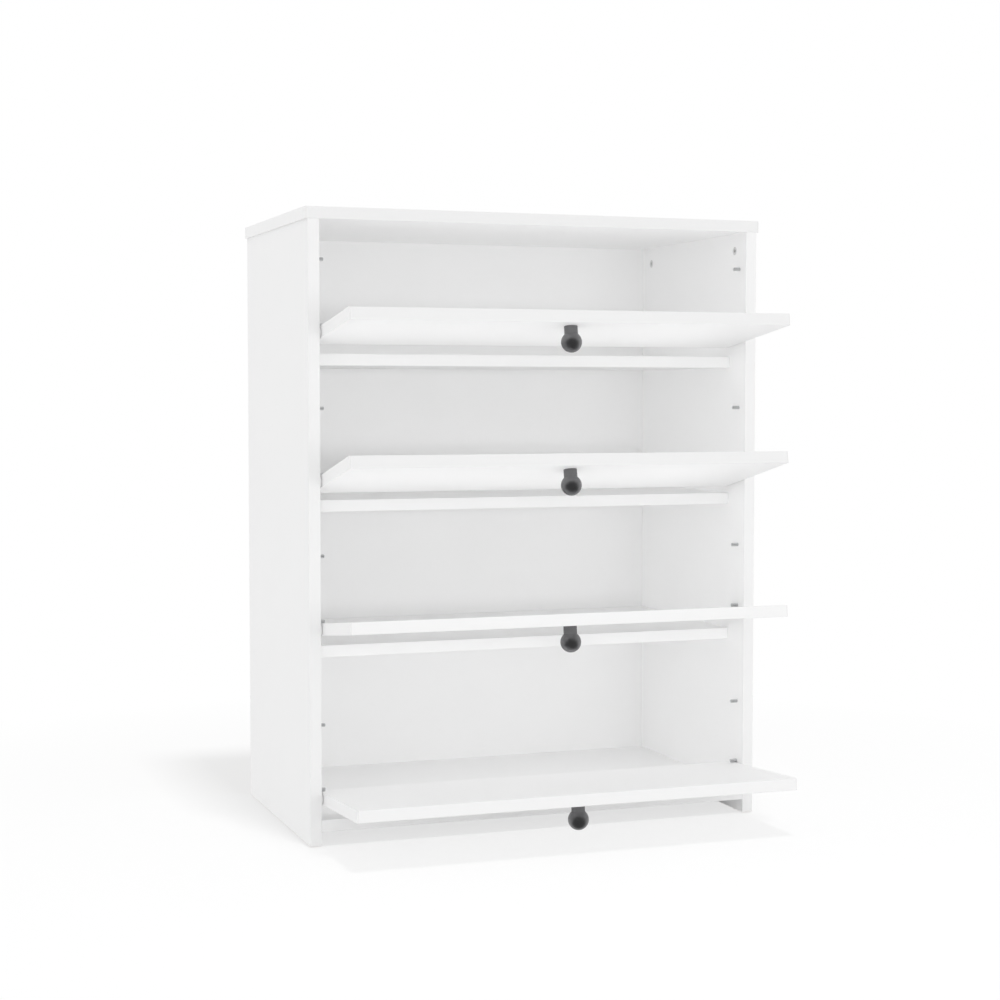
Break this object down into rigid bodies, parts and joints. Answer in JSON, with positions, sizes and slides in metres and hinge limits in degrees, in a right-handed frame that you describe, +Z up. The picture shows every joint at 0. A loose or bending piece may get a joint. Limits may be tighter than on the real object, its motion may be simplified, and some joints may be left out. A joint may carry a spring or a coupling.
{
  "type": "shoe cabinet",
  "caption": "White board shoe cabinet: open carcass with fixed shelves, and drop-down flaps that pivot near their lower edge, each pulled by a black ball knob.",
  "frame": {"origin": "on the floor, under the middle of the box round the cabinet with its flaps open", "axes": "+Z up, +X to the right as seen from the front, +Y from the front towards the back; the flaps open towards -Y"},
  "size_m": [0.656, 0.5262, 0.842],
  "materials": {
    "white_board": "particle board faced and edged with satin white melamine",
    "white_hardboard": "thin hardboard, painted white on the inner face",
    "black_knob": "black nickel, satin",
    "zinc_plated_steel": "zinc-plated steel",
    "cast_zinc": "dull cast zinc alloy",
    "white_nylon": "moulded nylon",
    "beech": "bare beech"
  },
  "bodies": {
    "carcass": {"right_side_panel": "white_board", "left_side_panel": "white_board", "top_panel": "white_board", "bottom_panel": "white_board", "upper_shelf": "white_board", "upper_shelf_dowels": "beech", "middle_shelf": "white_board", "middle_shelf_dowels": "beech", "lower_shelf": "white_board", "lower_shelf_dowels": "beech", "back_panel": "white_hardboard", "top_cam_locks": "cast_zinc", "top_cam_bolts": "zinc_plated_steel", "bottom_cam_locks": "cast_zinc", "bottom_cam_bolts": "zinc_plated_steel", "right_pivot_bushes": "white_nylon", "left_pivot_bushes": "white_nylon", "right_opening_stops": "zinc_plated_steel", "left_opening_stops": "zinc_plated_steel", "right_closing_stops": "zinc_plated_steel", "left_closing_stops": "zinc_plated_steel", "right_floor_glides": "white_nylon", "left_floor_glides": "white_nylon"},
    "top_flap_unit": {"top_flap": "white_board", "top_pivot_pins": "zinc_plated_steel", "top_knob": "black_knob", "top_knob_stud": "zinc_plated_steel"},
    "upper_flap_unit": {"upper_flap": "white_board", "upper_pivot_pins": "zinc_plated_steel", "upper_knob": "black_knob", "upper_knob_stud": "zinc_plated_steel"},
    "lower_flap_unit": {"lower_flap": "white_board", "lower_pivot_pins": "zinc_plated_steel", "lower_knob": "black_knob", "lower_knob_stud": "zinc_plated_steel"},
    "bottom_flap_unit": {"bottom_flap": "white_board", "bottom_pivot_pins": "zinc_plated_steel", "bottom_knob": "black_knob", "bottom_knob_stud": "zinc_plated_steel"}
  },
  "joints": [
    {"name": "top_flap_hinge", "type": "hinge", "parent": "carcass", "child": "top_flap_unit", "pos_m": [0, -0.08895, 0.679], "axis": [-1, 0, 0], "range_deg": [0, 82.8]},
    {"name": "upper_flap_hinge", "type": "hinge", "parent": "carcass", "child": "upper_flap_unit", "pos_m": [0, -0.08895, 0.4835], "axis": [-1, 0, 0], "range_deg": [0, 78.6]},
    {"name": "lower_flap_hinge", "type": "hinge", "parent": "carcass", "child": "lower_flap_unit", "pos_m": [0, -0.08895, 0.288], "axis": [-1, 0, 0], "range_deg": [0, 83.9]},
    {"name": "bottom_flap_hinge", "type": "hinge", "parent": "carcass", "child": "bottom_flap_unit", "pos_m": [0, -0.08895, 0.063], "axis": [-1, 0, 0], "range_deg": [0, 87.2]}
  ]
}
